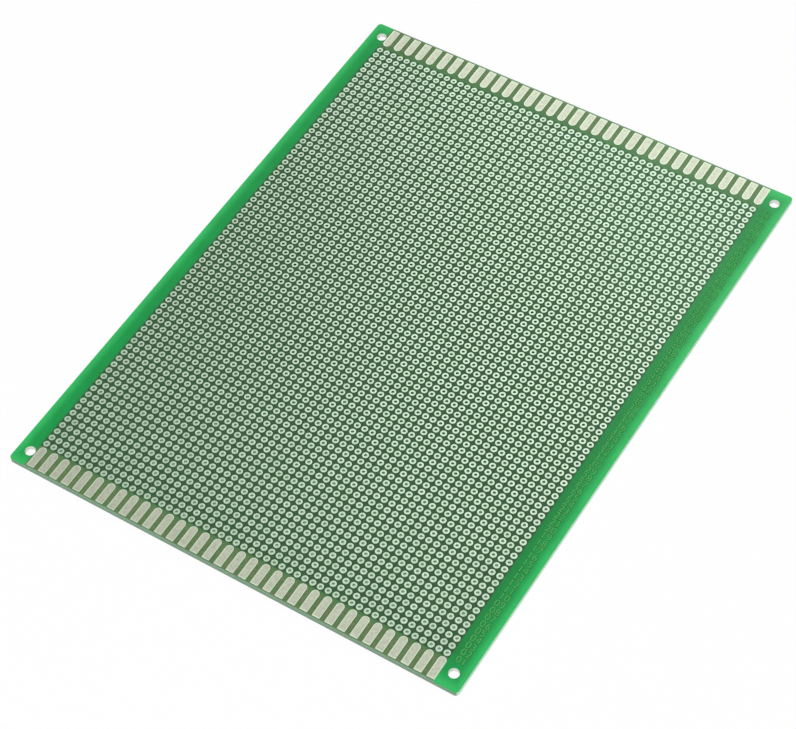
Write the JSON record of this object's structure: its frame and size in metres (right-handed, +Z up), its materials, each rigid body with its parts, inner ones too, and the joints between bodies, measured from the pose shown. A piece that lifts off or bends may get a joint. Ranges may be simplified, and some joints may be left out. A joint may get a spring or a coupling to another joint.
{
  "type": "prototype board",
  "caption": "Double-sided perforated circuit board with a grid of plated holes, contact fingers along both short ends and corner mounting holes.",
  "frame": {"origin": "under the middle of the board's outline, on the surface that it lies on", "axes": "+X across the board towards the numbered strip, +Y along its length towards the far end, +Z up out of its upper face"},
  "size_m": [0.15, 0.2, 0.0017],
  "materials": {
    "board": "glass-epoxy plate with a semi-gloss green solder mask on both faces and pale cut edges",
    "pads": "hot-tinned copper, satin",
    "fingers": "hot-tinned copper, satin"
  },
  "bodies": {
    "root": {"laminate": "board", "plated_holes_1": "pads", "plated_holes_2": "pads", "plated_holes_3": "pads", "plated_holes_4": "pads", "plated_holes_5": "pads", "plated_holes_6": "pads", "fingers_near_top": "fingers", "fingers_near_bottom": "fingers", "fingers_far_top": "fingers", "fingers_far_bottom": "fingers"}
  },
  "joints": []
}
